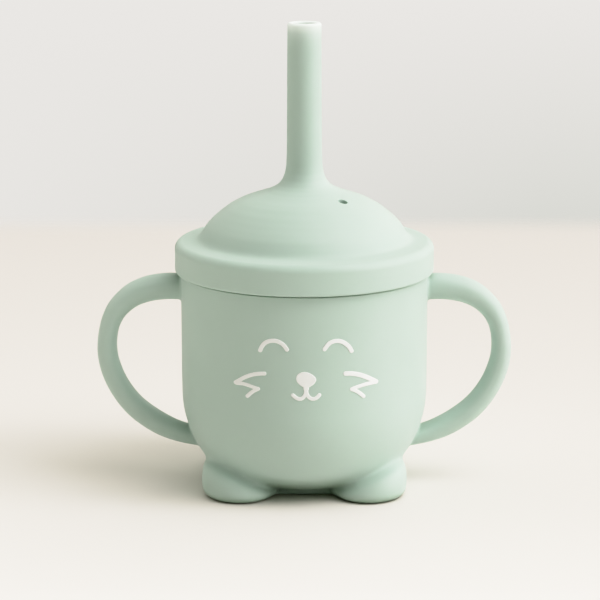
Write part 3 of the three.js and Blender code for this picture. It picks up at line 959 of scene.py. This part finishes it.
def dust_specks(g, place):
    """Pale specks at the centres of a few Voronoi cells."""
    specks = g.add("ShaderNodeTexVoronoi", {"Scale": 120, "Vector": place})
    near = g.remap(specks.outputs["Distance"], within=(0.0, 0.045), to=(1, 0))
    channels = g.add("ShaderNodeSeparateColor", {0: specks.outputs["Color"]})
    rarity, strength = 0.93, 0.35
    chosen = g.math("GREATER_THAN", channels.outputs[0], rarity)
    return g.product(near, chosen, strength)


def handle_seams(g, place):
    """Masks for the thin parting line round the handles at Y = 0, which carries a painted highlight, and
    for the painted shade just behind it low down.
    """
    axes = g.axes(place)
    off_plane = g.math("ABSOLUTE", axes["Y"])
    sideways = g.math("ABSOLUTE", axes["X"])
    seam = g.product(
        g.remap(off_plane, within=(0.00010, 0.00032), to=(1, 0)),
        g.remap(sideways, within=(0.0412, 0.0440)),
        g.remap(axes["Z"], within=(0.0698, 0.0705), to=(1, 0)),
        g.remap(g.noise(place, scale=150, detail=2), within=(0.35, 0.6), to=(0.45, 1)),
    )
    behind = g.product(
        g.remap(axes["Y"], within=(0.00020, 0.00050)),
        g.remap(axes["Y"], within=(0.0007, 0.0022), to=(1, 0)),
        g.remap(sideways, within=(0.0440, 0.0470)),
        g.remap(axes["Z"], within=(0.0330, 0.0400), to=(1, 0)),
    )
    return seam, behind


def silicone():
    material, g = new_material("mint_silicone")
    place = g.coordinates("Object")
    # faint clouding of the pigment, with finer mottling inside it
    cloud = g.remap(g.noise(place, scale=26, detail=3), within=(0.3, 0.7))
    mottle = g.remap(g.noise(place, scale=240, detail=2), within=(0.35, 0.65))
    base = g.mix(cloud, scaled(MINT, 0.975), scaled(MINT, 1.025))
    base = g.mix(g.remap(mottle, within=(0, 1), to=(0, 0.25)), base, MINT_MOTTLE)
    base = g.mix(dust_specks(g, place), base, DUST)
    seam, behind = handle_seams(g, place)
    # painted shade just behind the handle seam, low down
    base = g.mix(g.remap(behind, within=(0, 1), to=(0, 0.38)), base, PAINTED_SHADE)
    # painted highlight along the ridge of the parting line
    base = g.mix(g.remap(seam, within=(0, 1), to=(0, 0.22)), base, SEAM_HIGHLIGHT)
    # painted highlight along convex edges, and painted shade in corners and close to the table
    pointiness = g.add("ShaderNodeNewGeometry").outputs["Pointiness"]
    edge_highlight = g.product(
        g.remap(pointiness, within=(0.505, 0.56), to=(0, 0.30)),
        g.remap(g.noise(place, scale=90, detail=3), within=(0.3, 0.6), to=(0.6, 1)),
    )
    base = g.mix(edge_highlight, base, EDGE_HIGHLIGHT)
    # painted shade from ambient occlusion, darkest in corners and close to the table
    base = g.mix(g.occlusion_shade(distance=0.015, within=(0.05, 0.52)), PAINTED_SHADE, base)
    # painted glow: the thin lip of the straw is lightened and made to emit light
    tip = g.add("ShaderNodeAttribute", attribute_name="tip").outputs["Fac"]
    base = g.mix(g.remap(tip, within=(0, 1), to=(0, 0.5)), base, LIP)
    # fine moulded grain, and the parting line raised
    normal = g.bump(g.noise(place, scale=420, detail=2), strength=0.10, distance=0.00012)
    grain = g.noise(place, scale=2600, detail=2)
    normal = g.bump(grain, strength=0.12, distance=0.00005, normal=normal)
    normal = g.bump(seam, strength=0.6, distance=0.00006, normal=normal)
    drift = g.noise(place, scale=60, detail=4)
    g.surface(g.principled({
        "Base Color": base,
        "Roughness": g.remap(drift, within=(0.25, 0.75), to=(0.46, 0.60)),
        "IOR": 1.42,
        "Specular IOR Level": 0.6,
        "Subsurface Weight": 0.12,
        "Subsurface Radius": (0.8, 1.0, 0.8),
        "Subsurface Scale": 0.002,
        "Sheen Weight": 0.16,
        "Sheen Roughness": 0.4,
        "Emission Color": LIP_GLOW,
        "Emission Strength": g.remap(tip, within=(0, 1.3), to=(0, 0.42)),
        "Normal": normal,
    }))
    return material


def ink():
    material, g = new_material("white_print")
    place = g.coordinates("Object")
    cloud = g.remap(g.noise(place, scale=180, detail=3), within=(0.3, 0.7))
    drift = g.noise(place, scale=900, detail=2)
    grain = g.noise(place, scale=1800, detail=3)
    g.surface(g.principled({
        "Base Color": g.mix(cloud, INK_LOW, INK_HIGH),
        "Roughness": g.remap(drift, within=(0.3, 0.7), to=(0.42, 0.58)),
        "Normal": g.bump(grain, strength=0.15, distance=0.00006),
    }))
    return material


LIP_Z = 0.1505                   # metres; height from which the lip's glow falls off downwards
LIP_FALL = 0.0021                # metres over which it falls
LIP_INNER_R = 0.0042             # metres; closer to the axis than this the glow is stronger
LIP_INNER_GAIN = 1.25


def mark_straw_lip(skin):
    """Stores in the attribute tip how close each point is to the lip of the straw."""
    mesh = skin.data
    place = np.empty(len(mesh.vertices) * 3)
    mesh.vertices.foreach_get("co", place)
    x, y, z = place.reshape(-1, 3).T
    tip = np.exp(-np.clip(LIP_Z - z, 0, 1) / LIP_FALL)
    tip = np.where(np.hypot(x, y) < LIP_INNER_R, tip * LIP_INNER_GAIN, tip)
    attribute = mesh.attributes.new("tip", "FLOAT", "POINT")
    attribute.data.foreach_set("value", tip.astype(np.float32))


# ---------------------------------------------------------------- table (metres)

TABLE_HALF_W = 1.6
TABLE_Y = (-1.4, 0.48)
FADE_Y = (0.400, 0.470)          # the far edge dissolves between these
TONE_Y = (-0.115, 0.43)          # near and far ends of the painted darkening towards the back
TABLE_NEAR, TABLE_FAR = (0.905, 0.872, 0.834), (0.640, 0.602, 0.574)
# painted contact shadow colour, mixed in where the table is occluded
TABLE_PAINTED_SHADOW = scaled((0.80, 0.80, 0.58), 0.42)
WHITE = (1.0, 1.0, 1.0)


def table_material():
    """Pale matte table, painted darker towards the back and with a painted contact shadow, whose far
    edge dissolves softly into the wall.
    """
    material, g = new_material("pale_table")
    place = g.coordinates("Object")
    along = g.axes(place)["Y"]
    cloud = g.remap(g.noise(place, scale=3, detail=3), within=(0.3, 0.7))
    # painted light falloff: the table darkens towards the back
    tone_power = 0.55
    depth = g.math("POWER", g.remap(along, within=TONE_Y), tone_power)
    tone = g.mix(depth, TABLE_NEAR, TABLE_FAR)
    tone = g.mix(g.remap(cloud, within=(0, 1), to=(0, 0.02)), tone, WHITE)
    # painted contact shadow round the cup, from ambient occlusion
    tone = g.mix(g.occlusion_shade(distance=0.010, within=(0.0, 0.34)), TABLE_PAINTED_SHADOW, tone)
    matte = g.principled({"Base Color": tone, "Roughness": 0.7, "Specular IOR Level": 0.25})
    clear = g.add("ShaderNodeBsdfTransparent").outputs["BSDF"]
    edge = g.remap(along, within=FADE_Y, curve="SMOOTHERSTEP")
    g.surface(g.add("ShaderNodeMixShader", {0: edge, 1: matte, 2: clear}).outputs[0])
    return material


def build_table():
    near, far = TABLE_Y
    corners = [(-TABLE_HALF_W, near, 0), (TABLE_HALF_W, near, 0),
               (TABLE_HALF_W, far, 0), (-TABLE_HALF_W, far, 0)]
    mesh = bpy.data.meshes.new("table")
    mesh.from_pydata(corners, [], [(0, 1, 2, 3)])
    table = bpy.data.objects.new("table", mesh)
    bpy.context.scene.collection.objects.link(table)
    mesh.materials.append(table_material())


# ----------------------------------------------------------------------- light

# soft studio: broad glows on the sky round the stage, as
# (azimuth from the front towards the right, elevation, tightness, strength, tint)
KEY, FILL = (1.134, 1.07, 1.05), (1.134, 1.07, 0.98)
GLOWS = [
    (78, 36, 100, 11.0, KEY), (60, 42, 40, 2.90, KEY), (95, 35, 40, 0.90, KEY),
    (70, 58, 40, 3.20, KEY), (76, 14, 26, 4.70, KEY), (46, 60, 20, 2.30, KEY),
    (75, 74, 30, 1.30, KEY), (0, 90, 6, 0.50, FILL), (-100, 34, 8, 1.22, FILL),
    (-135, 28, 8, 0.45, FILL), (180, 25, 8, 0.60, FILL), (135, 25, 8, 1.75, FILL),
]
AMBIENT = (0.030, 0.050, 0.020)
WALL_HIGH, WALL_LOW = (0.915, 0.880, 0.838), (0.707, 0.710, 0.663)
# in components of the view direction
WALL_DROP_START, WALL_DROP_LENGTH = -0.105, 0.086    # Z where the wall starts to darken, and over
WALL_SIDE_SLOPE, WALL_SIDE_MIDDLE = 3.74, 0.65       # darkening per unit of X, and at X = 0


def sky_color(g, direction):
    glow = AMBIENT
    for azimuth, elevation, tightness, strength, tint in GLOWS:
        turn, lift = math.radians(azimuth), math.radians(elevation)
        centre = (math.sin(turn) * math.cos(lift), -math.cos(turn) * math.cos(lift), math.sin(lift))
        inputs = {0: direction, 1: centre}
        facing = g.add("ShaderNodeVectorMath", inputs, operation="DOT_PRODUCT").outputs["Value"]
        shape = g.math("POWER", g.math("MAXIMUM", facing, 0.0), tightness)
        inputs = {0: shape, 1: scaled(tint, strength), 2: glow}
        glow = g.add("ShaderNodeVectorMath", inputs, operation="MULTIPLY_ADD").outputs["Vector"]
    return glow


def wall_color(g, direction):
    """A plain pale wall with painted shade: a little darker low down and to the right."""
    axes = g.axes(direction)
    drop = g.math("MULTIPLY_ADD", axes["Z"], -1 / WALL_DROP_LENGTH,
                  WALL_DROP_START / WALL_DROP_LENGTH, clamp=True)
    side = g.math("MULTIPLY_ADD", axes["X"], WALL_SIDE_SLOPE, WALL_SIDE_MIDDLE, clamp=True)
    return g.mix(g.product(drop, side), WALL_HIGH, WALL_LOW)


def build_world():
    world = bpy.data.worlds.new("studio")
    bpy.context.scene.world = world
    world.use_nodes = True
    g = Graph(world.node_tree)
    direction = g.coordinates("Generated")
    sky = g.add("ShaderNodeBackground", {"Color": sky_color(g, direction)})
    wall = g.add("ShaderNodeBackground", {"Color": wall_color(g, direction)})
    # only the camera sees the wall; everything else is lit by the sky
    seen = g.add("ShaderNodeLightPath").outputs["Is Camera Ray"]
    either = g.add("ShaderNodeMixShader", {0: seen, 1: sky.outputs[0], 2: wall.outputs[0]})
    g.surface(either.outputs[0], kind="ShaderNodeOutputWorld")


# ------------------------------------------------------------- camera and view

CAMERA_AT = (-0.0014, -0.805, 0.2426 + STAND * MM)   # metres
CAMERA_DOWN = 12.79              # degrees below the horizontal
KNEE = 0.6                       # brightness up to which the tone curve is straight
CURVE_WHITE = 2                  # brightness at the end of the tone curve
KNEE_STEP, KNEE_POINTS = 0.05, 28


def build_camera():
    camera = bpy.data.cameras.new("camera")
    camera.sensor_width = 36
    camera.lens = 152.2
    camera.clip_start = 0.01
    camera.clip_end = 20
    eye = bpy.data.objects.new("camera", camera)
    bpy.context.scene.collection.objects.link(eye)
    eye.location = CAMERA_AT
    eye.rotation_euler = (math.radians(90 - CAMERA_DOWN), 0, 0)
    bpy.context.scene.camera = eye


def shoulder_value(bright):
    """Eases towards white above KNEE."""
    return KNEE + (1 - KNEE) * (1 - math.exp(-(bright - KNEE) / (1 - KNEE)))


def set_view():
    view = bpy.context.scene.view_settings
    view.view_transform = "Standard"
    view.look = "None"
    view.exposure = 0
    view.gamma = 1
    view.use_curve_mapping = True
    curves = view.curve_mapping
    curves.white_level = (CURVE_WHITE,) * 3
    curves.extend = "HORIZONTAL"
    shoulder = curves.curves[3]
    shoulder.points[-1].location = (1.0, shoulder_value(CURVE_WHITE))
    for k in range(KNEE_POINTS):
        bright = KNEE + KNEE_STEP * k
        shoulder.points.new(bright / CURVE_WHITE, shoulder_value(bright))
    for point in shoulder.points:
        point.handle_type = "VECTOR"
    curves.update()


# -------------------------------------------------------------------- assembly

cup_skin = build_cup()
lid_skin = build_lid()
tube_skin = build_tube()
print_skins = [build_print(*entry) for entry in PRINTS]

mark_straw_lip(lid_skin)
mint, white = silicone(), ink()
for skin in (cup_skin, lid_skin, tube_skin):
    skin.data.materials.append(mint)
for skin in print_skins:
    skin.data.materials.append(white)
for name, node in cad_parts.items():
    node.data.materials.clear()
    node.data.materials.append(white if name.startswith("print") else mint)

build_table()
build_world()
build_camera()
set_view()
